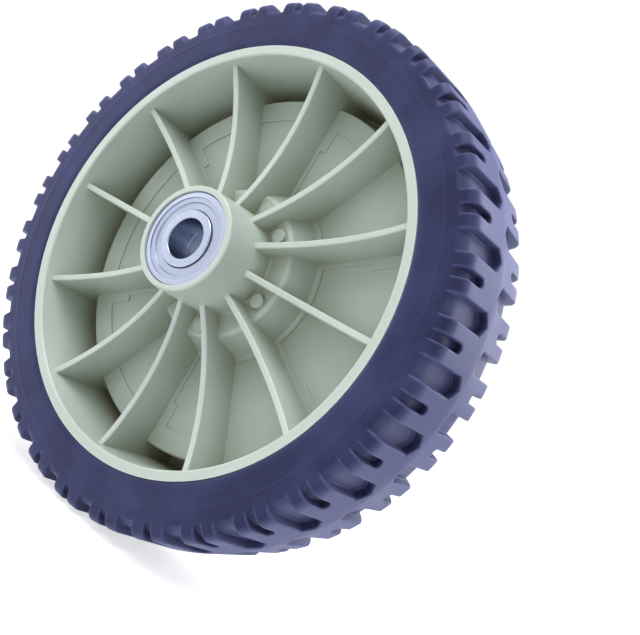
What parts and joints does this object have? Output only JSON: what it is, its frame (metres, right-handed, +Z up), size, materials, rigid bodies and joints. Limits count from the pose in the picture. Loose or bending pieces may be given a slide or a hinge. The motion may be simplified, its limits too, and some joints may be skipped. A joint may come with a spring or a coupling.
{
  "type": "lawn mower wheel",
  "caption": "Lawn mower wheel: ribbed plastic rim with swooping vanes, lugged rubber tyre and shielded ball bearings in the hub.",
  "frame": {"origin": "on the axle line, at the middle of the tyre's width", "axes": "+Y along the axle, from the vaned face towards the dished face; +Z up; a vane lies along +X"},
  "size_m": [0.2054, 0.0558, 0.2054],
  "materials": {
    "rim_plastic": "satin moulded plastic",
    "tyre_rubber": "matte moulded rubber",
    "bearing_steel": "ground steel",
    "shield_steel": "pressed zinc-plated sheet",
    "cage_steel": "pressed sheet",
    "sleeve_steel": "cut tube"
  },
  "bodies": {
    "axle_core": {"vane_side_inner_ring": "bearing_steel", "disc_side_inner_ring": "bearing_steel", "spacer_sleeve": "sleeve_steel"},
    "wheel": {"rim": "rim_plastic", "tyre": "tyre_rubber", "vane_side_outer_ring": "bearing_steel", "vane_side_front_shield": "shield_steel", "vane_side_back_shield": "shield_steel", "disc_side_outer_ring": "bearing_steel", "disc_side_front_shield": "shield_steel", "disc_side_back_shield": "shield_steel"},
    "vane_side_cage": {"vane_side_balls": "bearing_steel", "vane_side_cage_front_half": "cage_steel", "vane_side_cage_back_half": "cage_steel", "vane_side_cage_rivets": "cage_steel"},
    "disc_side_cage": {"disc_side_balls": "bearing_steel", "disc_side_cage_front_half": "cage_steel", "disc_side_cage_back_half": "cage_steel", "disc_side_cage_rivets": "cage_steel"}
  },
  "joints": [
    {"name": "wheel_spin", "type": "hinge", "parent": "axle_core", "child": "wheel", "pos_m": [0, 0, 0], "axis": [0, 1, 0], "continuous": true},
    {"name": "vane_side_cage_spin", "type": "hinge", "parent": "axle_core", "child": "vane_side_cage", "pos_m": [0, 0, 0], "axis": [0, 1, 0], "continuous": true},
    {"name": "disc_side_cage_spin", "type": "hinge", "parent": "axle_core", "child": "disc_side_cage", "pos_m": [0, 0, 0], "axis": [0, 1, 0], "continuous": true}
  ],
  "couplings": [
    {"joint": "vane_side_cage_spin", "follows": "wheel_spin", "ratio": 0.61906},
    {"joint": "disc_side_cage_spin", "follows": "wheel_spin", "ratio": 0.61906}
  ]
}
